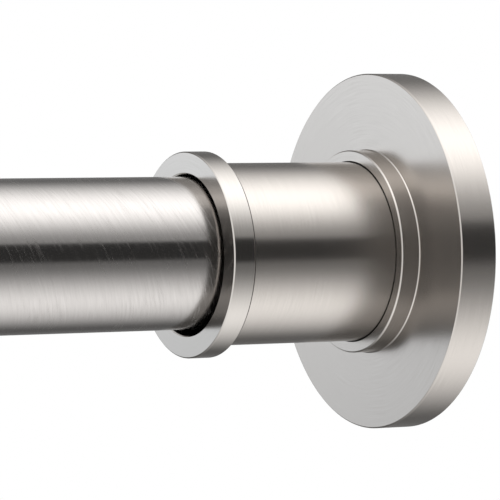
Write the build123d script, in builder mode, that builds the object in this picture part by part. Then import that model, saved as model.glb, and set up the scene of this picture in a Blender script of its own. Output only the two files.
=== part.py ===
from build123d import *
from math import radians, tan
import os

# Shower curtain rod, held between two walls by tension. The rod lies along X, with its origin on the
# left wall at the centre of the rubber pad. All sizes are in millimetres, and depths run from a wall
# into the room.

# Spans from wall to wall
shortest_span = 1117.6          # 44 inches, the shortest opening that the rod fits
rest_extension = 101.6          # how far the rod is drawn out as modelled, 4 inches
inner_tube_show = 32.0          # thin tube left bare when the rod is at its shortest

# Tubes
outer_tube_od = 25.4            # 1 inch
outer_tube_wall = 0.8
inner_tube_wall = 0.8
inner_tube_setback = 165.0      # thin tube's end to thick tube's end, at the shortest span
slide_clearance = 0.08          # running fit between parts that slide or turn in each other
tube_edge = 0.2                 # broken edge at each tube's end

# Collar in the mouth of the thick tube
collar_bush_wall = 0.72         # the bush that fills the space between the tubes
collar_bush_length = 24.0
collar_height = 1.1             # how far it stands above the thick tube
collar_nose = 3.0               # length ahead of the thick tube's mouth
collar_lap = 6.0                # length over the thick tube
collar_round = 0.9

# Wall pads and the plates behind them
pad_thickness = 2.4
pad_inset = 0.6                 # pad's edge inside the plate's edge
pad_boss_d = 10.0               # button that holds the pad in its plate
pad_boss_length = 1.2
groove_width = 1.6
groove_depth = 0.7
groove_spacing = 4.8
groove_count = 4
plate_thickness = 2.4
plate_edge = 0.5
plug_length = 30.0              # plug in the thin tube
plug_hollow_d = 13.0
flute_d = 1.6                   # relief flutes along every pressed plug
flute_count = 6

# Tension screw and its foot
spindle_d = 14.0
spindle_thread_length = 45.0
spindle_tip = 1.2               # lead-in chamfer on the thread's inner end
head_d = 12.0                   # round head that turns in the foot's socket
head_length = 4.4
head_dome = 1.5
neck_d = 9.0
hex_across_flats = 17.0
hex_length = 4.4
end_play = 0.2                  # play along the rod at each loose shoulder
socket_floor = 1.2              # the socket's floor stands this far above the plate's front
socket_inset = 0.3              # socket boss inside the thick tube's outline, so the cover clears it
retainer_thickness = 1.6
slot_run_out = 1.0              # retainer's slot is cut this far past its edge
foot_screw_d = 3.0
foot_screw_head_d = 5.4
countersink_angle = 90.0
foot_screw_length = 5.0         # below the countersunk head
foot_screw_count = 2
nut_rim = 1.8
nut_length = 30.0
foot_travel_in = 2.0            # how far the screw can still be turned in
driver_slot = 0.8               # width of the slot in each small screw

# Cam lock on the inner end of the thin tube
core_length = 28.0              # core pressed in the thin tube
guide_length = 3.0
cam_offset = 1.0                # stub's axis above the rod's axis
stub_d = 10.0
cam_length = 16.0
grip_groove_d = 1.4
grip_groove_count = 12
lock_washer_d = 18.0
lock_washer_thickness = 1.2
lock_screw_d = 4.0
lock_screw_head_d = 8.0
lock_screw_head_height = 2.6
lock_screw_head_round = 0.85
lock_screw_length = 13.0

# Covers: end ring, sleeve, and flange with its stepped hub
ring_play = 0.755               # the cover hangs loosely on its tube
cover_sag = 0.32                # and lies this far below the rod's axis
ring_width = 4.23
ring_height = 1.96              # end ring above the sleeve
ring_chamfer = 0.2
spigot_wall = 0.745             # ring's spigot in the sleeve, at the thick tube's end
spigot_length = 4.0
sleeve_wall = 0.98
sleeve_show = 27.5              # sleeve between the ring and the hub
sleeve_edge = 0.15
hub_wall = 2.0                  # hub above the sleeve
hub_height = 3.4
hub_chamfer = 0.2
hub_seat_chamfer = 0.2          # recess line around the sleeve
hub_foot = 0.15                 # small flare where the hub meets the flange
flange_d = 60.36
flange_rim_wall = 1.8
flange_face_wall = 1.5
flange_chamfer = 0.2
wall_gap = 0.2                  # cover stops this far from the wall, so the pad takes the load
plate_gap = 0.65                # flange's inner face to the foot plate
plate_side_gap = 1.3            # foot plate's edge to the inside of the flange's rim

# Radii that follow from these
outer_r = outer_tube_od / 2
outer_bore_r = outer_r - outer_tube_wall
slide_r = outer_bore_r - collar_bush_wall
inner_r = slide_r - slide_clearance
inner_bore_r = inner_r - inner_tube_wall
sleeve_bore_r = outer_r + ring_play + spigot_wall
sleeve_r = sleeve_bore_r + sleeve_wall
ring_r = sleeve_r + ring_height
hub_r = sleeve_r + hub_wall
flange_r = flange_d / 2
cavity_r = flange_r - flange_rim_wall
plate_r = cavity_r - plate_side_gap
pad_r = plate_r - pad_inset
socket_boss_r = outer_r - socket_inset
socket_r = head_d / 2 + slide_clearance
retainer_slot_r = neck_d / 2 + slide_clearance
foot_screw_circle_r = (socket_boss_r + socket_r) / 2

# Depths from either wall
plate_front = pad_thickness + plate_thickness
cavity_depth = plate_front + plate_gap
flange_front = cavity_depth + flange_face_wall
hub_front = flange_front + hub_height
ring_back = hub_front + sleeve_show
ring_front = ring_back + ring_width

# Depths from the right wall, along the tension screw
head_back = plate_front + socket_floor
neck_start = head_back + head_length
socket_mouth = neck_start + end_play
retainer_front = socket_mouth + retainer_thickness
hex_start = retainer_front + end_play
thread_start = hex_start + hex_length
nut_face = thread_start + foot_travel_in + end_play
tube_end_depth = nut_face + nut_rim

# Places along X
rest_span = shortest_span + rest_extension
inner_tube_end = shortest_span - tube_end_depth - inner_tube_setback
inner_tube_length = inner_tube_end - plate_front
mouth_x = ring_front + inner_tube_show + collar_nose + rest_extension
outer_tube_length = rest_span - tube_end_depth - mouth_x
stub_start = inner_tube_end + guide_length
stub_length = cam_length + 2 * end_play


def wall_plane(x, inward, drop=0):
    """The plane of a wall, looking along the rod into the room (inward is 1 or -1)."""
    return Plane(origin=(x, 0, -drop), x_dir=(0, inward, 0), z_dir=(inward, 0, 0))


def lengthwise(wall):
    """The plane that holds the axis: its X is the depth from the wall and its Y points up."""
    return Plane(origin=wall.origin, x_dir=wall.z_dir, z_dir=-wall.x_dir)


def axis_of(wall):
    return Axis(wall.origin, wall.z_dir)


def fluted_circle(radius):
    """Section of a pressed plug, with its relief flutes, drawn in the sketch being built."""
    Circle(radius)
    with PolarLocations(radius, flute_count):
        Circle(flute_d / 2, mode=Mode.SUBTRACT)


def save(part, name):
    part.label = name
    export_step(part, f"parts/{name}.step")


left_wall = wall_plane(0, 1)
right_wall = wall_plane(rest_span, -1)
os.makedirs("parts", exist_ok=True)

# Thin tube, fixed to the left foot
with BuildPart() as inner_tube:
    with BuildSketch(left_wall.offset(plate_front)):
        Circle(inner_r)
        Circle(inner_bore_r, mode=Mode.SUBTRACT)
    extrude(amount=inner_tube_length)
    chamfer(inner_tube.edges().group_by(Axis.X)[-1].sort_by(SortBy.RADIUS)[-1], tube_edge)
save(inner_tube.part, "inner_tube")

# Thick tube, which slides over the thin one and reaches the right foot
with BuildPart() as outer_tube:
    with BuildSketch(left_wall.offset(mouth_x)):
        Circle(outer_r)
        Circle(outer_bore_r, mode=Mode.SUBTRACT)
    extrude(amount=outer_tube_length)
    chamfer(outer_tube.edges().group_by(Axis.X)[0].sort_by(SortBy.RADIUS)[-1], tube_edge)
save(outer_tube.part, "outer_tube")

# Moulded collar: a cap over the thick tube's mouth with a bush that guides the thin tube
with BuildPart() as mouth_collar:
    with BuildSketch(lengthwise(left_wall)):
        with BuildLine():
            Polyline(
                (mouth_x - collar_nose, slide_r),
                (mouth_x - collar_nose, outer_r + collar_height),
                (mouth_x + collar_lap, outer_r + collar_height),
                (mouth_x + collar_lap, outer_r),
                (mouth_x, outer_r),
                (mouth_x, outer_bore_r),
                (mouth_x + collar_bush_length, outer_bore_r),
                (mouth_x + collar_bush_length, slide_r),
                close=True,
            )
        make_face()
    revolve(axis=Axis.X)
    circles = mouth_collar.edges().filter_by(GeomType.CIRCLE)
    fillet(circles.group_by(SortBy.RADIUS)[-1].sort_by(Axis.X)[0], collar_round)
save(mouth_collar.part, "mouth_collar")

# Core of the cam lock: pressed in the thin tube, with a guide disc that runs in the thick tube's
# bore and an eccentric stub that carries the cam
with BuildPart() as lock_core:
    with BuildSketch(left_wall.offset(inner_tube_end - core_length)):
        fluted_circle(inner_bore_r)
    extrude(amount=core_length)
    with BuildSketch(left_wall.offset(inner_tube_end)):
        Circle(outer_bore_r - slide_clearance)
    extrude(amount=guide_length)
    with BuildSketch(left_wall.offset(stub_start)):
        with Locations((0, cam_offset)):
            Circle(stub_d / 2)
    extrude(amount=stub_length)
    with BuildSketch(left_wall.offset(stub_start + stub_length - lock_screw_length)):
        with Locations((0, cam_offset)):
            Circle(lock_screw_d / 2)
    extrude(amount=lock_screw_length, mode=Mode.SUBTRACT)
save(lock_core.part, "lock_core")

# Cam: an off-centre ring with grip grooves, which wedges in the thick tube when it is thrown
with BuildPart() as lock_cam:
    with BuildSketch(left_wall.offset(stub_start + end_play)):
        Circle(inner_r)
        with PolarLocations(inner_r, grip_groove_count):
            Circle(grip_groove_d / 2, mode=Mode.SUBTRACT)
        with Locations((0, cam_offset)):
            Circle(stub_d / 2 + slide_clearance, mode=Mode.SUBTRACT)
    extrude(amount=cam_length)
save(lock_cam.part, "lock_cam")

# Washer and screw that keep the cam on its stub
washer_start = stub_start + stub_length
with BuildPart() as lock_washer:
    with BuildSketch(left_wall.offset(washer_start)):
        with Locations((0, cam_offset)):
            Circle(lock_washer_d / 2)
            Circle(lock_screw_d / 2, mode=Mode.SUBTRACT)
    extrude(amount=lock_washer_thickness)
save(lock_washer.part, "lock_washer")

screw_head_start = washer_start + lock_washer_thickness
with BuildPart() as lock_screw:
    with BuildSketch(left_wall.offset(washer_start - lock_screw_length)):
        with Locations((0, cam_offset)):
            Circle(lock_screw_d / 2)
    extrude(amount=lock_screw_length + lock_washer_thickness)
    with BuildSketch(left_wall.offset(screw_head_start)):
        with Locations((0, cam_offset)):
            Circle(lock_screw_head_d / 2)
    extrude(amount=lock_screw_head_height)
    fillet(lock_screw.edges().group_by(Axis.X)[-1], lock_screw_head_round)
    with BuildSketch(left_wall.offset(screw_head_start + lock_screw_head_height / 2)):
        with Locations((0, cam_offset)):
            Rectangle(driver_slot, lock_screw_head_d)
    extrude(amount=lock_screw_head_height, mode=Mode.SUBTRACT)
save(lock_screw.part, "lock_screw")

# Moulded nut pressed in the thick tube's end, with a rim that covers the tube's edge
with BuildPart() as end_nut:
    with BuildSketch(right_wall.offset(nut_face)):
        Circle(outer_r)
    extrude(amount=nut_rim)
    with BuildSketch(right_wall.offset(tube_end_depth)):
        fluted_circle(outer_bore_r)
    extrude(amount=nut_length)
    with BuildSketch(right_wall.offset(nut_face)):
        Circle(spindle_d / 2 + slide_clearance)
    extrude(amount=nut_rim + nut_length, mode=Mode.SUBTRACT)
    chamfer(end_nut.edges().group_by(Axis.X)[-1].sort_by(SortBy.RADIUS)[0], spindle_tip / 2)
save(end_nut.part, "end_nut")

# Tension screw: round head for the foot's socket, neck, hex for a spanner, and the threaded shank
with BuildPart() as tension_spindle:
    with BuildSketch(right_wall.offset(head_back)):
        Circle(head_d / 2)
    extrude(amount=head_length)
    fillet(tension_spindle.edges().group_by(Axis.X)[-1], head_dome)
    with BuildSketch(right_wall.offset(neck_start)):
        Circle(neck_d / 2)
    extrude(amount=hex_start - neck_start)
    with BuildSketch(right_wall.offset(hex_start)):
        RegularPolygon(hex_across_flats / 2, 6, major_radius=False)
    extrude(amount=hex_length)
    with BuildSketch(right_wall.offset(thread_start)):
        Circle(spindle_d / 2)
    extrude(amount=spindle_thread_length)
    chamfer(tension_spindle.edges().group_by(Axis.X)[0], spindle_tip)
save(tension_spindle.part, "tension_spindle")

# Foot at the right wall: a round plate with a socket boss in which the screw's head turns
foot_screw_depth = foot_screw_length + retainer_thickness
with BuildPart() as foot_plate_right:
    with BuildSketch(right_wall.offset(pad_thickness)):
        Circle(plate_r)
    extrude(amount=plate_thickness)
    fillet(foot_plate_right.edges().group_by(Axis.X)[0], plate_edge)
    with BuildSketch(right_wall.offset(plate_front)):
        Circle(socket_boss_r)
    extrude(amount=socket_mouth - plate_front)
    with BuildSketch(right_wall.offset(head_back - end_play)):
        Circle(socket_r)
    extrude(amount=socket_mouth - head_back + end_play, mode=Mode.SUBTRACT)
    with BuildSketch(right_wall.offset(retainer_front - foot_screw_depth)):
        with PolarLocations(foot_screw_circle_r, foot_screw_count):
            Circle(foot_screw_d / 2)
    extrude(amount=foot_screw_depth, mode=Mode.SUBTRACT)
    with BuildSketch(right_wall.offset(pad_thickness)):
        Circle(pad_boss_d / 2)
    extrude(amount=pad_boss_length, mode=Mode.SUBTRACT)
save(foot_plate_right.part, "foot_plate_right")

# Horseshoe plate that slips over the screw's neck and shuts the socket
with BuildPart() as foot_retainer:
    with BuildSketch(right_wall.offset(socket_mouth)):
        Circle(socket_boss_r)
        with BuildLine():
            Polyline(
                (retainer_slot_r, 0),
                (retainer_slot_r, -socket_boss_r - slot_run_out),
                (-retainer_slot_r, -socket_boss_r - slot_run_out),
                (-retainer_slot_r, 0),
            )
            RadiusArc((-retainer_slot_r, 0), (retainer_slot_r, 0), retainer_slot_r)
        make_face(mode=Mode.SUBTRACT)
    extrude(amount=retainer_thickness)
    with Locations(right_wall.offset(retainer_front)):
        with PolarLocations(foot_screw_circle_r, foot_screw_count):
            CounterSinkHole(
                foot_screw_d / 2, foot_screw_head_d / 2, retainer_thickness, countersink_angle
            )
save(foot_retainer.part, "foot_retainer")

# Two countersunk screws hold the horseshoe plate
countersink_depth = (foot_screw_head_d - foot_screw_d) / 2 / tan(radians(countersink_angle / 2))
with BuildPart() as foot_screws:
    with BuildSketch(right_wall.offset(retainer_front - foot_screw_depth)):
        with PolarLocations(foot_screw_circle_r, foot_screw_count):
            Circle(foot_screw_d / 2)
    extrude(amount=foot_screw_depth)
    with Locations(right_wall.offset(retainer_front - countersink_depth / 2)):
        with PolarLocations(foot_screw_circle_r, foot_screw_count):
            Cone(foot_screw_d / 2, foot_screw_head_d / 2, countersink_depth)
    with BuildSketch(right_wall.offset(retainer_front - countersink_depth / 2)):
        with PolarLocations(foot_screw_circle_r, foot_screw_count):
            Rectangle(driver_slot, foot_screw_head_d)
    extrude(amount=countersink_depth, mode=Mode.SUBTRACT)
save(foot_screws.part, "foot_screws")

# Foot at the left wall: plate and hollow fluted plug in one moulding
with BuildPart() as foot_plug_left:
    with BuildSketch(left_wall.offset(pad_thickness)):
        Circle(plate_r)
    extrude(amount=plate_thickness)
    fillet(foot_plug_left.edges().group_by(Axis.X)[-1], plate_edge)
    with BuildSketch(left_wall.offset(plate_front)):
        fluted_circle(inner_bore_r)
    extrude(amount=plug_length)
    with BuildSketch(left_wall.offset(plate_front)):
        Circle(plug_hollow_d / 2)
    extrude(amount=plug_length, mode=Mode.SUBTRACT)
    with BuildSketch(left_wall.offset(pad_thickness)):
        Circle(pad_boss_d / 2)
    extrude(amount=pad_boss_length, mode=Mode.SUBTRACT)
save(foot_plug_left.part, "foot_plug_left")

for side, wall_x, inward, tube_r in (("left", 0, 1, inner_r), ("right", rest_span, -1, outer_r)):
    wall = wall_plane(wall_x, inward)
    hung = wall_plane(wall_x, inward, drop=cover_sag)
    into_room = axis_of(wall)

    # Rubber pad with ring grooves on the wall's side and a button on its back
    with BuildPart() as wall_pad:
        with BuildSketch(wall):
            Circle(pad_r)
        extrude(amount=pad_thickness)
        with BuildSketch(wall.offset(pad_thickness)):
            Circle(pad_boss_d / 2)
        extrude(amount=pad_boss_length)
        with BuildSketch(wall):
            for number in range(1, groove_count + 1):
                Circle(number * groove_spacing + groove_width / 2)
                Circle(number * groove_spacing - groove_width / 2, mode=Mode.SUBTRACT)
        extrude(amount=groove_depth, mode=Mode.SUBTRACT)
    save(wall_pad.part, f"wall_pad_{side}")

    # Hollow flange with the stepped hub that holds the sleeve
    with BuildPart() as cover_flange:
        with BuildSketch(lengthwise(hung)):
            with BuildLine():
                Polyline(
                    (wall_gap, cavity_r),
                    (cavity_depth, cavity_r),
                    (cavity_depth, sleeve_r),
                    (hub_front, sleeve_r),
                    (hub_front, hub_r),
                    (flange_front + hub_foot, hub_r),
                    (flange_front, hub_r + hub_foot),
                    (flange_front, flange_r),
                    (wall_gap, flange_r),
                    close=True,
                )
            make_face()
        revolve(axis=axis_of(hung))
        circles = cover_flange.edges().filter_by(GeomType.CIRCLE)
        chamfer(circles.group_by(SortBy.RADIUS)[-1], flange_chamfer)
        hub_edges = cover_flange.edges().group_by(into_room)[-1].sort_by(SortBy.RADIUS)
        chamfer(hub_edges[-1], hub_chamfer)
        hub_edges = cover_flange.edges().group_by(into_room)[-1].sort_by(SortBy.RADIUS)
        chamfer(hub_edges[0], hub_seat_chamfer)
    save(cover_flange.part, f"cover_flange_{side}")

    # Sleeve between the hub and the end ring
    with BuildPart() as cover_sleeve:
        with BuildSketch(hung.offset(cavity_depth)):
            Circle(sleeve_r)
            Circle(sleeve_bore_r, mode=Mode.SUBTRACT)
        extrude(amount=ring_back - cavity_depth)
        chamfer(cover_sleeve.edges().group_by(into_room)[-1].sort_by(SortBy.RADIUS)[-1], sleeve_edge)
    save(cover_sleeve.part, f"cover_sleeve_{side}")

    # End ring, with a spigot pressed in the sleeve and a bore that clears its own tube
    with BuildPart() as cover_ring:
        with BuildSketch(hung.offset(ring_back)):
            Circle(ring_r)
        extrude(amount=ring_width)
        chamfer(cover_ring.edges().filter_by(GeomType.CIRCLE), ring_chamfer)
        with BuildSketch(hung.offset(ring_back - spigot_length)):
            Circle(sleeve_bore_r)
        extrude(amount=spigot_length)
        with BuildSketch(hung.offset(ring_back - spigot_length)):
            Circle(tube_r + ring_play)
        extrude(amount=ring_width + spigot_length, mode=Mode.SUBTRACT)
        chamfer(cover_ring.edges().group_by(into_room)[-1].sort_by(SortBy.RADIUS)[0], ring_chamfer)
    save(cover_ring.part, f"cover_ring_{side}")
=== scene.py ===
# Shower curtain rod: two brushed nickel tubes that telescope, a screw in one foot that presses the
# rod between two walls, and a round stepped cover over each foot. Metres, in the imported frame.
import math

import bpy
from mathutils import Matrix, Vector


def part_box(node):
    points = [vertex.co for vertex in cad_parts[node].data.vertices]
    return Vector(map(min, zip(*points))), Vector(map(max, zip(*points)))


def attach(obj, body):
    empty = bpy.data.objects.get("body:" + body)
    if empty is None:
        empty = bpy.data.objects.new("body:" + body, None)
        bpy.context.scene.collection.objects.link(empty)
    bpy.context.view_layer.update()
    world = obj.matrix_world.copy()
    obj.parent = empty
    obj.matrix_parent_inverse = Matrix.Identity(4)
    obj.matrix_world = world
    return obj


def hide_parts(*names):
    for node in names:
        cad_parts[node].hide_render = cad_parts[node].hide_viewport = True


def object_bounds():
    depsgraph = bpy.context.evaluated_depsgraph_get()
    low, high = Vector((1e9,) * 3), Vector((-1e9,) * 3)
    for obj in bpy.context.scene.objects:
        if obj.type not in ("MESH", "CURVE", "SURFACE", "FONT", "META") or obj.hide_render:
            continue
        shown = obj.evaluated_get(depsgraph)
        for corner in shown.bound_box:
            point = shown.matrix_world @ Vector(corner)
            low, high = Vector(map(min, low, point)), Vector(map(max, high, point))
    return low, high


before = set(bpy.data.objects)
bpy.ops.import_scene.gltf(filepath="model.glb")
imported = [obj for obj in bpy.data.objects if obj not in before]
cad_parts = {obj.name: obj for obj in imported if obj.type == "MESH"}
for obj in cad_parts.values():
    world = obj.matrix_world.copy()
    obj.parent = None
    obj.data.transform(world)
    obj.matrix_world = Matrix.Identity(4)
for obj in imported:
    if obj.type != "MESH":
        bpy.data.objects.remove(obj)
cad_box = [list(corner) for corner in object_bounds()]

# Thin tube: a drawn steel tube of 22 mm, plated with nickel and brushed round its girth on a belt.
# It is pressed over the left foot's plug, and the other end slides in the thick tube.
MM = 0.001                     # the rod's own sizes are in millimetres, and all places in metres
TUBE_WALL = 0.8
TUBE_EDGE = 0.15               # broken edge of a cut tube
FINE_CUT = 0.05                # the least rounding that a cut edge has
ROUNDING_STEP = 15             # degrees between the points of a rounded corner
PRESS_SPACING = 7.0            # how far apart places lie where the brush pressed harder
LIGHT_PRESS = 0.5              # how strong the strokes are where it pressed least, as a share
HARD_PRESS = 1.4               # the same where it pressed most
MIDDLE = 0.5                   # the middle height of the strokes' pattern
DULL_FROM = 0.5                # the height below which they start to dull
DULL_FULL = 0.32               # the height where they are dullest
QUARTER_TURN = 0.25            # lays the stretched gloss across the strokes


def linear(code):
    """A hex colour, as it looks on a screen, turned to the linear values that a shader takes."""
    channels = [int(code[place:place + 2], 16) / 255 for place in (1, 3, 5)]
    return [c / 12.92 if c <= 0.04045 else ((c + 0.055) / 1.055) ** 2.4 for c in channels] + [1.0]


def node(tree, kind, inputs=None, stops=(), **settings):
    """Adds a node with its settings, fills or links its inputs, and places the stops of a ramp."""
    made = tree.nodes.new(kind)
    for name, value in settings.items():
        setattr(made, name, value)
    for socket, value in (inputs or {}).items():
        if isinstance(value, bpy.types.NodeSocket):
            tree.links.new(value, made.inputs[socket])
        else:
            made.inputs[socket].default_value = value
    for number, (place, colour) in enumerate(stops):
        marks = made.color_ramp.elements
        mark = marks[number] if number < 2 else marks.new(place)
        mark.position = place
        mark.color = colour
    return made


def blank_material(name):
    """A material with nothing but its surface shader, and that shader."""
    material = bpy.data.materials.new(name)
    material.use_nodes = True
    tree = material.node_tree
    tree.nodes.clear()
    surface = node(tree, "ShaderNodeBsdfPrincipled")
    node(tree, "ShaderNodeOutputMaterial", {"Surface": surface.outputs["BSDF"]})
    return material, tree, surface


def brushed_nickel(name, shade, light, roughness, stretch, line, stroke, relief,
                   lean=0.0, scuff=1.1, axis_z=0.0):
    """Nickel plate that was brushed or turned: fine strokes that run round the piece.

    shade and light are the colours in and beside a stroke, line is the strokes' spacing and stroke
    their length, and relief their depth, in millimetres. lean is how far they slant along the rod for
    their height, and scuff how much duller than the rest the deepest are. The strokes scatter light
    along the rod and leave it sharper across, which stretch does. axis_z is the height of the piece's
    axis.
    """
    material, tree, surface = blank_material(name)
    place = node(tree, "ShaderNodeTexCoord").outputs["Object"]
    split = node(tree, "ShaderNodeSeparateXYZ", {0: place})
    height = node(tree, "ShaderNodeMath", {0: split.outputs["Z"], 1: axis_z}, operation="SUBTRACT")
    across = node(tree, "ShaderNodeCombineXYZ", {"Y": split.outputs["Y"], "Z": height.outputs[0]})
    radius = node(tree, "ShaderNodeVectorMath", {0: across.outputs[0]}, operation="LENGTH")
    profile = node(tree, "ShaderNodeMath", {0: split.outputs["X"], 1: radius.outputs["Value"]})
    slanted = node(tree, "ShaderNodeMath", {0: height.outputs[0], 1: lean, 2: profile.outputs[0]},
                   operation="MULTIPLY_ADD")
    grain_place = node(tree, "ShaderNodeCombineXYZ", {
        "X": slanted.outputs[0], "Y": split.outputs["Y"], "Z": height.outputs[0]})
    grain_scale = node(tree, "ShaderNodeVectorMath", {
        0: grain_place.outputs[0], 1: (1 / (line * MM), 1 / (stroke * MM), 1 / (stroke * MM))},
        operation="MULTIPLY")
    grain = node(tree, "ShaderNodeTexNoise", {
        "Vector": grain_scale.outputs[0], "Scale": 1.0, "Detail": 2.0, "Roughness": 0.6})
    patches = node(tree, "ShaderNodeTexNoise", {
        "Vector": place, "Scale": 1 / (PRESS_SPACING * MM), "Detail": 1.0})
    depth = node(tree, "ShaderNodeMapRange", {
        "Value": patches.outputs["Fac"], "From Min": 0.35, "From Max": 0.65,
        "To Min": LIGHT_PRESS, "To Max": HARD_PRESS})
    centred = node(tree, "ShaderNodeMath", {0: grain.outputs["Fac"], 1: MIDDLE}, operation="SUBTRACT")
    stroked = node(tree, "ShaderNodeMath", {
        0: centred.outputs[0], 1: depth.outputs["Result"], 2: MIDDLE}, operation="MULTIPLY_ADD")
    colour = node(tree, "ShaderNodeValToRGB", {"Fac": stroked.outputs[0]},
                  stops=((0.25, linear(shade)), (0.75, linear(light))))
    rough = node(tree, "ShaderNodeMapRange", {
        "Value": stroked.outputs[0], "From Min": DULL_FROM, "From Max": DULL_FULL,
        "To Min": roughness, "To Max": roughness * scuff})
    bump = node(tree, "ShaderNodeBump", {
        "Height": stroked.outputs[0], "Strength": 1.0, "Distance": relief * MM})
    girth = node(tree, "ShaderNodeTangent", direction_type="RADIAL", axis="X")
    surface.inputs["Metallic"].default_value = 1.0
    surface.inputs["Anisotropic"].default_value = stretch
    surface.inputs["Anisotropic Rotation"].default_value = QUARTER_TURN
    tree.links.new(colour.outputs["Color"], surface.inputs["Base Color"])
    tree.links.new(rough.outputs["Result"], surface.inputs["Roughness"])
    tree.links.new(bump.outputs["Normal"], surface.inputs["Normal"])
    tree.links.new(girth.outputs["Tangent"], surface.inputs["Tangent"])
    return material


def rounded(outline):
    """The points of a closed outline with its corners rounded, each with its outward normal."""
    corners = [(Vector((depth, radius)), rounding) for depth, radius, rounding in outline]
    following = corners[1:] + corners[:1]
    twice_area = sum(a.x * b.y - b.x * a.y for (a, _), (b, _) in zip(corners, following))
    hand = math.copysign(1, twice_area)
    found = []
    for number, (here, rounding) in enumerate(corners):
        come = (here - corners[number - 1][0]).normalized()
        go = (following[number][0] - here).normalized()
        first, last = (Vector((way.y, -way.x)) * hand for way in (come, go))
        turn = math.atan2(first.x * last.y - first.y * last.x, first.dot(last))
        side = math.copysign(1, turn * hand)
        centre = here - come * rounding * abs(math.tan(turn / 2)) - first * rounding * side
        steps = max(2, round(abs(turn) / math.radians(ROUNDING_STEP)))
        for step in range(steps + 1):
            normal = Matrix.Rotation(turn * step / steps, 2) @ first
            found.append((centre + normal * rounding * side, normal))
    return found


def turned_mesh(name, outline, start, inward=1, around=256):
    """A piece turned from a closed outline of (depth, radius, rounding) in millimetres.

    start is the point on its axis where the depth is 0, and inward the way along X that it grows.
    """
    vertices, normals, rings = [], [], []
    for (depth, radius), slope in rounded(outline):
        rings.append(range(len(vertices), len(vertices) + around))
        for number in range(around):
            turn = math.tau * number / around
            vertices.append((start[0] + inward * depth * MM, start[1] + radius * math.cos(turn) * MM,
                             start[2] + radius * math.sin(turn) * MM))
            normals.append((inward * slope.x, slope.y * math.cos(turn), slope.y * math.sin(turn)))
    faces = []
    for ring, other in zip(rings, rings[1:] + rings[:1]):
        for number in range(around):
            beside = (number + 1) % around
            faces.append((ring[number], other[number], other[beside], ring[beside]))
    mesh = bpy.data.meshes.new(name)
    mesh.from_pydata(vertices, [], faces)
    if mesh.polygons[0].normal.dot(Vector(normals[mesh.polygons[0].vertices[0]])) < 0:
        mesh.flip_normals()
    mesh.polygons.foreach_set("use_smooth", [True] * len(mesh.polygons))
    mesh.normals_split_custom_set_from_vertices(normals)
    return mesh


def put(name, mesh, material, body, slot, *stands_for):
    """Adds a piece to the rod: it rides on its body and stands for the nodes that it replaces."""
    piece = bpy.data.objects.new(name, mesh)
    mesh.materials.append(material)
    bpy.context.scene.collection.objects.link(piece)
    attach(piece, body)
    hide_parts(*stands_for)
    return piece


def half_height(name):
    """Half the height of a node in millimetres, which is a round one's radius."""
    low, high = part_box(name)
    return (high.z - low.z) / 2 / MM


def tube(name, material, body, slot, stands_for):
    """A plain cut tube of the size and place of the node that it stands for."""
    low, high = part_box(stands_for)
    length = (high.x - low.x) / MM
    radius = half_height(stands_for)
    outline = (
        (0, radius, TUBE_EDGE),
        (length, radius, TUBE_EDGE),
        (length, radius - TUBE_WALL, FINE_CUT),
        (0, radius - TUBE_WALL, FINE_CUT),
    )
    start = (low.x, 0, (low.z + high.z) / 2)
    put(name, turned_mesh(name, outline, start), material, body, slot, stands_for)


# The strokes are drawn coarser than the real ones of about 0.1 mm, so that they show.
tube_nickel = brushed_nickel("brushed_nickel_tube", "#C8C4C1", "#D4D0CD", roughness=0.16, stretch=0.65,
                             line=0.42, stroke=4.6, relief=0.0018, lean=0.46, scuff=1.75)
tube("thin_tube", tube_nickel, "thin_half", "brushed_nickel_inner", "inner_tube")

# Left foot: a plate and a hollow plug in one black nylon moulding, with the fine spark-eroded grain
# of its mould, which dulls its gloss. The thin tube is pressed over the plug.
GRAIN = 0.25                   # grain of the mould, coarser than the real 0.1 so that it shows
FLOW = 12.0                    # width of the faint changes of colour
GLOSS_SPREAD = 0.15            # how much the gloss differs from grain to grain, as a share


def grained(name, shade, light, roughness, grain, depth):
    """A finish that no brush has touched: a near-plain colour, with a fine grain in gloss and surface.

    grain is the width of the grain that a mould or a plating bath leaves, and depth its depth, in
    millimetres.
    """
    material, tree, surface = blank_material(name)
    place = node(tree, "ShaderNodeTexCoord").outputs["Object"]
    texture = node(tree, "ShaderNodeTexNoise", {
        "Vector": place, "Scale": 1 / (grain * MM), "Detail": 4.0, "Roughness": 0.65})
    flow = node(tree, "ShaderNodeTexNoise", {"Vector": place, "Scale": 1 / (FLOW * MM), "Detail": 2.0})
    colour = node(tree, "ShaderNodeValToRGB", {"Fac": flow.outputs["Fac"]},
                  stops=((0.3, linear(shade)), (0.7, linear(light))))
    rough = node(tree, "ShaderNodeMapRange", {
        "Value": texture.outputs["Fac"], "From Min": 0.3, "From Max": 0.7,
        "To Min": roughness * (1 - GLOSS_SPREAD), "To Max": roughness * (1 + GLOSS_SPREAD)})
    bump = node(tree, "ShaderNodeBump", {
        "Height": texture.outputs["Fac"], "Strength": 0.5, "Distance": depth * MM})
    tree.links.new(colour.outputs["Color"], surface.inputs["Base Color"])
    tree.links.new(rough.outputs["Result"], surface.inputs["Roughness"])
    tree.links.new(bump.outputs["Normal"], surface.inputs["Normal"])
    return material, surface


def finish_node(name, material):
    """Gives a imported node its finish."""
    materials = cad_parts[name].data.materials
    materials.clear()
    materials.append(material)


black_nylon, surface = grained("moulded_black_nylon", "#1B1B1C", "#222224", 0.5, GRAIN, 0.02)
surface.inputs["IOR"].default_value = 1.53
finish_node("foot_plug_left", black_nylon)

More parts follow.
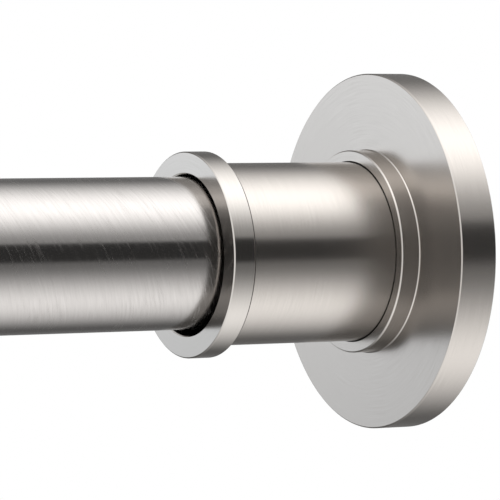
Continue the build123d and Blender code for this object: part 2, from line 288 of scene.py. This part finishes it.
# Wall pads: discs of black rubber, moulded with ring grooves that grip the wall and a button on the
# back that holds them in their plates. Rubber is dull, with a bloom that greys it a little.
pad_rubber, surface = grained("moulded_rubber", "#242424", "#2E2D2C", 0.8, GRAIN, 0.03)
surface.inputs["IOR"].default_value = 1.52
surface.inputs["Sheen Weight"].default_value = 0.15
for side in ("left", "right"):
    finish_node(f"wall_pad_{side}", pad_rubber)

# Cam lock on the thin tube's end: the core and the cam are moulded of natural acetal, milky and
# slightly waxy. A washer and a screw of zinc-plated steel, bright and bluish, keep the cam on its stub.
acetal, surface = grained("natural_acetal", "#E2E0D9", "#EBE9E3", 0.38, GRAIN, 0.01)
surface.inputs["IOR"].default_value = 1.48
surface.inputs["Subsurface Weight"].default_value = 0.15
surface.inputs["Subsurface Scale"].default_value = 2 * MM
for name in ("lock_core", "lock_cam"):
    finish_node(name, acetal)

zinc_plate, surface = grained("bright_zinc_plate", "#B9BCBF", "#CBCED1", 0.28, GRAIN, 0.004)
surface.inputs["Metallic"].default_value = 1.0
for name in ("lock_washer", "lock_screw"):
    finish_node(name, zinc_plate)

# Thick tube: the same drawn, plated and brushed tube at one inch, which slides over the thin one.
# The curtain's rings run on it.
tube("thick_tube", tube_nickel, "thick_half", "brushed_nickel_tube", "outer_tube")

# Collar in the thick tube's mouth: a nickel-coloured moulding, a cap over the cut edge and a bush
# that guides the thin tube. The pigment's flakes give it a soft gloss.
COLLAR_NOSE = 3.0
COLLAR_ROUND = 0.9
COLLAR_EDGE = 0.2
BUSH_WALL = 0.72
CAP_LENGTH = 9.0
low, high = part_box("mouth_collar")
thick_radius = half_height("outer_tube")
bush_radius = thick_radius - TUBE_WALL
collar_radius = half_height("mouth_collar")
collar_length = (high.x - low.x) / MM
collar_outline = (
    (0, bush_radius - BUSH_WALL, FINE_CUT),
    (0, collar_radius, COLLAR_ROUND),
    (CAP_LENGTH, collar_radius, COLLAR_EDGE),
    (CAP_LENGTH, thick_radius, FINE_CUT),
    (COLLAR_NOSE, thick_radius, FINE_CUT),
    (COLLAR_NOSE, bush_radius, FINE_CUT),
    (collar_length, bush_radius, COLLAR_EDGE),
    (collar_length, bush_radius - BUSH_WALL, FINE_CUT),
)
nickel_plastic, surface = grained("nickel_coloured_moulding", "#A9A5A0", "#B3AFAA", 0.4, GRAIN, 0.006)
surface.inputs["Metallic"].default_value = 0.55
put("collar", turned_mesh("collar", collar_outline, (low.x, 0, 0)), nickel_plastic,
    "thick_half", "nickel_look_collar", "mouth_collar")

# End nut: a moulding of the same black nylon, pressed in the thick tube's end, with a rim over the
# cut edge. The tension screw runs in it.
finish_node("end_nut", black_nylon)

# Tension screw: zinc-plated steel with a round head for the foot's socket, a neck, a hexagon for a
# spanner with its corners chamfered, and a rolled thread that runs in the nylon nut.
HEAD_RADIUS = 6.0
HEAD_LENGTH = 4.4
HEAD_DOME = 1.5
HEAD_EDGE = 0.2
NECK_RADIUS = 4.5
HEX_START = 6.4                # from the head's back
HEX_LENGTH = 4.4
HEX_CORNER_CUT = 0.5           # how far the corners' chamfer runs along the hexagon
SCREW_RADIUS = 7.0
PITCH = 3.0
THREAD_DEPTH = 1.5
THREAD_LEAD = 1.2              # chamfer at either end of the thread
# How high the thread stands, as a share, by the share of one pitch
THREAD_SHAPE = (
    (0.0, 0.0), (0.18, 0.0), (0.28, 0.1), (0.44, 0.9), (0.54, 1.0),
    (0.70, 1.0), (0.80, 0.9), (0.96, 0.1), (1.0, 0.0),
)
AROUND_SCREW = 96              # points in a ring of its skin
DOME_STEPS = 6
HEX_STEPS = 8
STEPS_A_PITCH = 20
SHARP_ANGLE = 35               # degrees between two faces past which their edge stays sharp


def hexagon(turn, flat, from_end):
    """The radius of a hexagon with chamfered corners, by the distance from its nearer end."""
    corner = flat / math.cos(turn % math.radians(60) - math.radians(30))
    cut = flat / math.cos(math.radians(30)) - (HEX_CORNER_CUT - from_end) * math.sqrt(3)
    return min(corner, max(cut, flat))


def thread(turn, depth, length):
    """The radius of the right-hand thread at a depth from its start."""
    share = (depth / PITCH + turn / math.tau) % 1
    for (start, low), (end, high) in zip(THREAD_SHAPE, THREAD_SHAPE[1:]):
        if share <= end:
            rise = low + (high - low) * (share - start) / (end - start)
            break
    lead = SCREW_RADIUS - THREAD_LEAD + min(depth, length - depth)
    return min(SCREW_RADIUS - THREAD_DEPTH * (1 - rise), lead)


def screw_mesh(name):
    """The tension screw as one closed skin of rings along its axis, from its head's back."""
    low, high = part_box(name)
    flat = half_height(name)
    thread_start = HEX_START + HEX_LENGTH
    thread_length = (high.x - low.x) / MM - thread_start
    turns = [math.tau * number / AROUND_SCREW for number in range(AROUND_SCREW)]
    rounds = []
    for step in range(DOME_STEPS + 1):
        bend = math.pi / 2 * step / DOME_STEPS
        rounds.append((HEAD_DOME * (1 - math.cos(bend)), HEAD_RADIUS - HEAD_DOME * (1 - math.sin(bend))))
    rounds += [
        (HEAD_LENGTH - HEAD_EDGE, HEAD_RADIUS),
        (HEAD_LENGTH, HEAD_RADIUS - HEAD_EDGE),
        (HEAD_LENGTH, NECK_RADIUS),
        (HEX_START, NECK_RADIUS),
    ]
    rings = [(depth, [radius] * AROUND_SCREW) for depth, radius in rounds]
    for step in range(HEX_STEPS + 1):
        depth = HEX_LENGTH * (1 - math.cos(math.pi * step / HEX_STEPS)) / 2
        from_end = min(depth, HEX_LENGTH - depth)
        rings.append((HEX_START + depth, [hexagon(turn, flat, from_end) for turn in turns]))
    steps = round(thread_length / PITCH * STEPS_A_PITCH)
    for step in range(steps + 1):
        depth = thread_length * step / steps
        rings.append((thread_start + depth, [thread(turn, depth, thread_length) for turn in turns]))
    vertices = []
    for depth, radii in rings:
        for turn, radius in zip(turns, radii):
            vertices.append((
                high.x - depth * MM, radius * math.cos(turn) * MM, radius * math.sin(turn) * MM))
    last_ring = len(vertices) - AROUND_SCREW
    faces = [list(reversed(range(AROUND_SCREW))), list(range(last_ring, len(vertices)))]
    for ring in range(0, last_ring, AROUND_SCREW):
        for number in range(AROUND_SCREW):
            here = ring + number
            beside = ring + (number + 1) % AROUND_SCREW
            faces.append((here, beside, beside + AROUND_SCREW, here + AROUND_SCREW))
    mesh = bpy.data.meshes.new(name)
    mesh.from_pydata(vertices, [], faces)
    mesh.flip_normals()
    mesh.shade_smooth()
    mesh.set_sharp_from_angle(angle=math.radians(SHARP_ANGLE))
    return mesh


put("tension_screw", screw_mesh("tension_spindle"), zinc_plate,
    "spindle", "zinc_plated_steel", "tension_spindle")

# Right foot: a plate with the socket that the screw's head turns in, moulded of black nylon, shut by
# a horseshoe plate and its two countersunk screws, which are zinc-plated steel.
finish_node("foot_plate_right", black_nylon)
for name in ("foot_retainer", "foot_screws"):
    finish_node(name, zinc_plate)

# Covers: a flange turned with its stepped hub, a sleeve, and an end ring pressed in the sleeve. They
# are brass, plated with nickel and given a satin finish, which spreads the light along the rod. The
# ring's is finer. Two chamfers, on the ring's back edge and round the sleeve's seat in the hub, are
# painted near-black: painted shade in the seams. The covers hang loosely on the rod.
COVER_SAG = 0.32               # how far a cover hangs below the rod's axis
SLEEVE_WALL = 0.98
SLEEVE_EDGE = 0.15
SPIGOT_LENGTH = 4.0            # the part of the end ring that is pressed in the sleeve
RING_PLAY = 0.755              # between the ring's bore and its tube, if it didn't sag
HUB_WALL = 2.0
HUB_HEIGHT = 3.4
HUB_FOOT = 0.15                # chamfer where the hub meets the flange's face
FACE_WALL = 1.5
RIM_WALL = 1.8
EDGE_CUT = 0.2                 # chamfer on the ring, the hub and the flange
SEAT_CUT = 0.2                 # chamfer round the sleeve's seat, painted near-black as a fine line of painted shade
BACK_CUT = 0.45                # chamfer on the ring's back edge, painted near-black as painted shade
SOFT = 0.1                     # what the satin finish takes off every edge
SEAM_SHADE_GRAIN = 0.3               # grain of the near-black painted shade on the seams' chamfers
# The chamfer faces that get the painted shade are found by how far they point away from the wall, as a
# cosine
SEAT_SLOPES = (0.3, 0.9)
BACK_SLOPES = (-0.995, -0.3)

# The lines of the satin finish are drawn coarser than the real ones of about 0.05 mm.
cover_nickel = brushed_nickel("satin_nickel_cover", "#D0CAC4", "#D6D0CA", roughness=0.23, stretch=0.6,
                              line=0.16, stroke=6.0, relief=0.0004, axis_z=-COVER_SAG * MM)
ring_nickel = brushed_nickel("polished_nickel_ring", "#D1CCC6", "#D7D2CD", roughness=0.15, stretch=0.5,
                             line=0.16, stroke=8.0, relief=0.0003, axis_z=-COVER_SAG * MM)
# Near-black nickel for two seam chamfers: painted shade where the joints fall in shadow
painted_shade_nickel, surface = grained("nickel_painted_seam_shade", "#1A1918", "#242322", 0.35, SEAM_SHADE_GRAIN, 0.002)
surface.inputs["Metallic"].default_value = 1.0


def depths(name, wall_x, inward):
    """Where a node starts and ends, in millimetres from the wall that its cover lies on."""
    return sorted((corner.x - wall_x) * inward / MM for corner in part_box(name))


def paint_seam_shade(piece, start, inward, span, slopes, widest):
    """Paints a chamfer near-black, as painted shade: its faces' depths are within span and radii up to
    widest.
    """
    piece.data.materials.append(painted_shade_nickel)
    for face in piece.data.polygons:
        depth = (face.center.x - start[0]) * inward / MM
        radius = math.hypot(face.center.y, face.center.z - start[2]) / MM
        slope = face.normal.x * inward
        if span[0] < depth < span[1] and slopes[0] < slope < slopes[1] and radius < widest:
            face.material_index = 1


right_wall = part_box("wall_pad_right")[1].x
for side, wall_x, inward, tube_node in (
        ("left", 0, 1, "inner_tube"), ("right", right_wall, -1, "outer_tube")):
    start = (wall_x, 0, -COVER_SAG * MM)
    body = f"{side}_cover"

    sleeve = f"cover_sleeve_{side}"
    sleeve_back, sleeve_front = depths(sleeve, wall_x, inward)
    sleeve_radius = half_height(sleeve)
    sleeve_bore = sleeve_radius - SLEEVE_WALL
    sleeve_outline = (
        (sleeve_back, sleeve_radius, FINE_CUT),
        (sleeve_front, sleeve_radius, SLEEVE_EDGE),
        (sleeve_front, sleeve_bore, FINE_CUT),
        (sleeve_back, sleeve_bore, FINE_CUT),
    )
    put(f"{side}_cover_sleeve", turned_mesh(f"{side}_cover_sleeve", sleeve_outline, start, inward),
        cover_nickel, body, "satin_nickel_cover", sleeve)

    flange = f"cover_flange_{side}"
    flange_back, hub_front = depths(flange, wall_x, inward)
    flange_radius = half_height(flange)
    hub_radius = sleeve_radius + HUB_WALL
    flange_front = hub_front - HUB_HEIGHT
    cavity = flange_radius - RIM_WALL
    flange_outline = (
        (flange_back, cavity, SOFT),
        (flange_front - FACE_WALL, cavity, SOFT),
        (flange_front - FACE_WALL, sleeve_radius, FINE_CUT),
        (hub_front - SEAT_CUT, sleeve_radius, FINE_CUT),
        (hub_front, sleeve_radius + SEAT_CUT, FINE_CUT),
        (hub_front, hub_radius - EDGE_CUT, SOFT),
        (hub_front - EDGE_CUT, hub_radius, SOFT),
        (flange_front + HUB_FOOT, hub_radius, SOFT),
        (flange_front, hub_radius + HUB_FOOT, SOFT),
        (flange_front, flange_radius - EDGE_CUT, SOFT),
        (flange_front - EDGE_CUT, flange_radius, SOFT),
        (flange_back + EDGE_CUT, flange_radius, SOFT),
        (flange_back, flange_radius - EDGE_CUT, SOFT),
    )
    piece = put(f"{side}_cover_flange", turned_mesh(f"{side}_cover_flange", flange_outline, start, inward),
                cover_nickel, body, "satin_nickel_cover", flange)
    # Painted shade on the chamfer round the sleeve's seat in the hub
    paint_seam_shade(piece, start, inward, (hub_front - SEAT_CUT, hub_front), SEAT_SLOPES,
               sleeve_radius + SEAT_CUT)

    ring = f"cover_ring_{side}"
    spigot_back, ring_front = depths(ring, wall_x, inward)
    ring_back = spigot_back + SPIGOT_LENGTH
    ring_radius = half_height(ring)
    ring_bore = half_height(tube_node) + RING_PLAY
    ring_outline = (
        (spigot_back, sleeve_bore, FINE_CUT),
        (ring_back, sleeve_bore, FINE_CUT),
        (ring_back, ring_radius - BACK_CUT, SOFT),
        (ring_back + BACK_CUT, ring_radius, SOFT),
        (ring_front - EDGE_CUT, ring_radius, SOFT),
        (ring_front, ring_radius - EDGE_CUT, SOFT),
        (ring_front, ring_bore + EDGE_CUT, SOFT),
        (ring_front - EDGE_CUT, ring_bore, SOFT),
        (spigot_back, ring_bore, FINE_CUT),
    )
    piece = put(f"{side}_cover_ring", turned_mesh(f"{side}_cover_ring", ring_outline, start, inward),
                ring_nickel, body, "polished_nickel_ring", ring)
    # Painted shade on the ring's back chamfer, where it meets the sleeve
    paint_seam_shade(piece, start, inward, (ring_back, ring_back + BACK_CUT), BACK_SLOPES, ring_radius)

# Floor: a pale disc below the rod that fades to white at its edge. Metal doesn't see it, so that
# what the tubes reflect is the studio alone.
FLOOR_LEVEL = -0.45
FLOOR_RADIUS = 3.0
FLOOR_SIDES = 96
FADE_FROM = 0.35               # where the fading starts, as a share of the radius
FADE_TO = 0.95                 # and where it is white
WHITE = (1, 1, 1, 1)
middle = Vector(((cad_box[0][0] + cad_box[1][0]) / 2, 0, FLOOR_LEVEL))
material, tree, surface = blank_material("studio_floor")
surface.inputs["Base Color"].default_value = linear("#EFEEEC")
surface.inputs["Roughness"].default_value = 1.0
surface.inputs["Specular IOR Level"].default_value = 0.0
place = node(tree, "ShaderNodeTexCoord").outputs["Object"]
reach = node(tree, "ShaderNodeVectorMath", {0: place}, operation="LENGTH")
fade = node(tree, "ShaderNodeMapRange", {
    "Value": reach.outputs["Value"],
    "From Min": FADE_FROM * FLOOR_RADIUS, "From Max": FADE_TO * FLOOR_RADIUS},
    interpolation_type="SMOOTHSTEP")
white = node(tree, "ShaderNodeEmission", {"Color": WHITE, "Strength": 1.0})
mixed = node(tree, "ShaderNodeMixShader", {
    0: fade.outputs["Result"], 1: surface.outputs["BSDF"], 2: white.outputs["Emission"]})
output = next(made for made in tree.nodes if made.type == "OUTPUT_MATERIAL")
tree.links.new(mixed.outputs["Shader"], output.inputs["Surface"])
turns = [math.tau * number / FLOOR_SIDES for number in range(FLOOR_SIDES)]
rim = [(FLOOR_RADIUS * math.cos(turn), FLOOR_RADIUS * math.sin(turn), 0) for turn in turns]
mesh = bpy.data.meshes.new("floor")
mesh.from_pydata(rim, [], [list(range(FLOOR_SIDES))])
mesh.materials.append(material)
floor = bpy.data.objects.new("floor", mesh)
floor.location = middle
floor.visible_glossy = False
bpy.context.scene.collection.objects.link(floor)

# Studio light: a soft lamp overhead lights what is dull and draws the rod's shadow on the floor.
# It leaves the gloss to the surroundings below.
LAMP_LENGTH = 2.4
LAMP_WIDTH = 1.0
LAMP_POWER = 28
LAMP_PLACE = (middle.x, -0.4, 1.8)
lamp_data = bpy.data.lights.new("overhead", "AREA")
lamp_data.shape = "RECTANGLE"
lamp_data.size = LAMP_LENGTH
lamp_data.size_y = LAMP_WIDTH
lamp_data.energy = LAMP_POWER
lamp = bpy.data.objects.new("overhead", lamp_data)
lamp.location = LAMP_PLACE
lamp.visible_glossy = False
bpy.context.scene.collection.objects.link(lamp)

# Surroundings: white for the camera, an even light for dull surfaces, and for gloss the studio that
# metal mirrors: soft lights over and under the rod, a black flag at its height, two cards behind, a
# white wall past the left end, and a dimmer left side for what one piece mirrors in another.
EVEN_LIGHT = 0.75
FULL = 1.8                     # brightness that stands for white in a ramp
# Angle about the rod, from the side it is seen from up over the top, and the brightness there
ROUND_THE_ROD = (
    (-180, 0.22), (-140, 0.12), (-72, 1.14), (-12, 0.18), (-7, 0.035),
    (16, 0.035), (20, 0.34), (74, 1.75), (146, 0.17), (180, 0.22),
)
# The same to the left in a doubled reflection, as when the flange's face mirrors the sleeve
TO_THE_LEFT = (
    (-180, 0.10), (-130, 0.08), (-95, 0.28), (-72, 0.34), (-44, 0.06), (-12, 0.0), (12, 0.0),
    (48, 0.10), (64, 0.26), (80, 0.80), (91, 0.96), (106, 0.68), (128, 0.40), (165, 0.22),
)
DOUBLED = 2.5                  # Ray Depth is 2 for what is mirrored once, and 3 for twice
# The same for the wall past the rod's left end, which doesn't reach far behind the rod
END_WALL = ((-180, 0.30), (-150, 0.30), (-100, 1.0), (100, 1.0), (150, 0.30), (180, 0.30))
# How far a direction points along the rod, and the shares that those three have there
ALONG_THE_ROD = (
    (-1.0, (0, 0, 1)), (-0.85, (0, 0, 1)), (-0.65, (0, 1, 0.03)), (-0.35, (0, 1, 0.02)), (0.1, (1, 0, 0)),
)
# Where each card stands, and how near to that a direction is, as a cosine, at its edge and inside
CARDS = ((Vector((-0.75, 0.66, 0)), 0.6, 0.85), (Vector((0.9, 0.436, 0)), 0.85, 0.93))
CARD_COLOUR = (0.95, 1.0, 1.055, 1)
CARD_END = 0.45                # how far up or down a direction points at a card's end
CARD_WHOLE = 0.25              # and where the card is at its full strength
CARD_BOTTOM = 0.55             # brightness of its lower part
CARD_TOP = 1.24                # and of its upper part
CARD_TURN = 0.1                # how far up and down the one turns to the other

world = bpy.data.worlds.new("studio")
bpy.context.scene.world = world
world.use_nodes = True
# No map of the world is sampled for its light, because a map can't tell a glossy ray from a dull one
world.cycles.sampling_method = "NONE"
tree = world.node_tree
tree.nodes.clear()
path = node(tree, "ShaderNodeLightPath")
way = node(tree, "ShaderNodeTexCoord").outputs["Generated"]
split = node(tree, "ShaderNodeSeparateXYZ", {0: way})
front = node(tree, "ShaderNodeMath", {0: split.outputs["Y"], 1: -1.0}, operation="MULTIPLY")
angle = node(tree, "ShaderNodeMath", {0: split.outputs["Z"], 1: front.outputs[0]}, operation="ARCTAN2")
share = node(tree, "ShaderNodeMapRange", {
    "Value": angle.outputs[0], "From Min": -math.pi, "From Max": math.pi})
strips, left_strips, end_wall = [
    node(tree, "ShaderNodeValToRGB", {"Fac": share.outputs["Result"]}, stops=[
        ((degrees + 180) / 360, [level / FULL] * 3 + [1]) for degrees, level in levels])
    for levels in (ROUND_THE_ROD, TO_THE_LEFT, END_WALL)]
for ramp in (strips, left_strips, end_wall):
    ramp.color_ramp.interpolation = "EASE"
twice = node(tree, "ShaderNodeMath", {0: path.outputs["Ray Depth"], 1: DOUBLED}, operation="GREATER_THAN")
left = node(tree, "ShaderNodeMix", {
    "Factor": twice.outputs[0], "A": strips.outputs["Color"], "B": left_strips.outputs["Color"]},
    data_type="FLOAT")
brightness = node(tree, "ShaderNodeCombineXYZ", {
    "X": strips.outputs["Color"], "Y": left.outputs["Result"], "Z": end_wall.outputs["Color"]})
along = node(tree, "ShaderNodeMapRange", {"Value": split.outputs["X"], "From Min": -1.0, "From Max": 1.0})
shares = node(tree, "ShaderNodeValToRGB", {"Fac": along.outputs["Result"]}, stops=[
    ((place + 1) / 2, (*parts, 1)) for place, parts in ALONG_THE_ROD])
blend = node(tree, "ShaderNodeVectorMath", {0: brightness.outputs[0], 1: shares.outputs["Color"]},
             operation="DOT_PRODUCT")
studio = node(tree, "ShaderNodeMath", {0: blend.outputs["Value"], 1: FULL}, operation="MULTIPLY")

across_cards = []
for card_way, edge, inside in CARDS:
    toward = node(tree, "ShaderNodeVectorMath", {0: way, 1: card_way.normalized()}, operation="DOT_PRODUCT")
    across_card = node(tree, "ShaderNodeMapRange", {
        "Value": toward.outputs["Value"], "From Min": edge, "From Max": inside},
        interpolation_type="SMOOTHSTEP")
    across_cards.append(across_card.outputs["Result"])
across = node(tree, "ShaderNodeMath", dict(enumerate(across_cards)), operation="MAXIMUM")
off_level = node(tree, "ShaderNodeMath", {0: split.outputs["Z"]}, operation="ABSOLUTE")
up_card = node(tree, "ShaderNodeMapRange", {
    "Value": off_level.outputs[0], "From Min": CARD_END, "From Max": CARD_WHOLE},
    interpolation_type="SMOOTHSTEP")
on_card = node(tree, "ShaderNodeMath", {
    0: across.outputs[0], 1: up_card.outputs["Result"]}, operation="MULTIPLY")
card = node(tree, "ShaderNodeMapRange", {
    "Value": split.outputs["Z"], "From Min": -CARD_TURN, "From Max": CARD_TURN,
    "To Min": CARD_BOTTOM, "To Max": CARD_TOP})
mirrored = node(tree, "ShaderNodeMix", {
    "Factor": on_card.outputs[0], "A": studio.outputs[0], "B": card.outputs["Result"]},
    data_type="FLOAT")
# Sockets 6, 7 and output 2 are the ones for colours
tint = node(tree, "ShaderNodeMix", {0: on_card.outputs[0], 6: WHITE, 7: CARD_COLOUR}, data_type="RGBA")

gloss = node(tree, "ShaderNodeMath", {
    0: path.outputs["Is Glossy Ray"], 1: path.outputs["Is Transmission Ray"]}, operation="MAXIMUM")
for_gloss = node(tree, "ShaderNodeBackground", {
    "Color": tint.outputs[2], "Strength": mirrored.outputs["Result"]})
for_dull = node(tree, "ShaderNodeBackground", {"Color": WHITE, "Strength": EVEN_LIGHT})
for_camera = node(tree, "ShaderNodeBackground", {"Color": WHITE, "Strength": 1.0})
light = node(tree, "ShaderNodeMixShader", {
    0: gloss.outputs[0], 1: for_dull.outputs[0], 2: for_gloss.outputs[0]})
seen = node(tree, "ShaderNodeMixShader", {
    0: path.outputs["Is Camera Ray"], 1: light.outputs[0], 2: for_camera.outputs[0]})
node(tree, "ShaderNodeOutputWorld", {"Surface": seen.outputs[0]})

# Camera: level with the rod, 29 degrees round towards its left, close to the right cover, and
# rolled by about a degree.
AIM = Vector((1.18955, 0, 0.00029))
AROUND_ROD = math.radians(29.22)
ROLL = math.radians(-1.214)
DISTANCE = 0.6081
LENS = 261.8
SENSOR = 36
back = Vector((-math.sin(AROUND_ROD), -math.cos(AROUND_ROD), 0))
level_right = Vector((math.cos(AROUND_ROD), -math.sin(AROUND_ROD), 0))
upright = Vector((0, 0, 1))
right = level_right * math.cos(ROLL) + upright * math.sin(ROLL)
up = upright * math.cos(ROLL) - level_right * math.sin(ROLL)
camera_data = bpy.data.cameras.new("camera")
camera_data.lens = LENS
camera_data.sensor_width = SENSOR
camera = bpy.data.objects.new("camera", camera_data)
facing = Matrix((right, up, back)).transposed().to_4x4()
camera.matrix_world = Matrix.Translation(AIM + back * DISTANCE) @ facing
bpy.context.scene.collection.objects.link(camera)
bpy.context.scene.camera = camera
bpy.context.scene.view_settings.view_transform = "Standard"
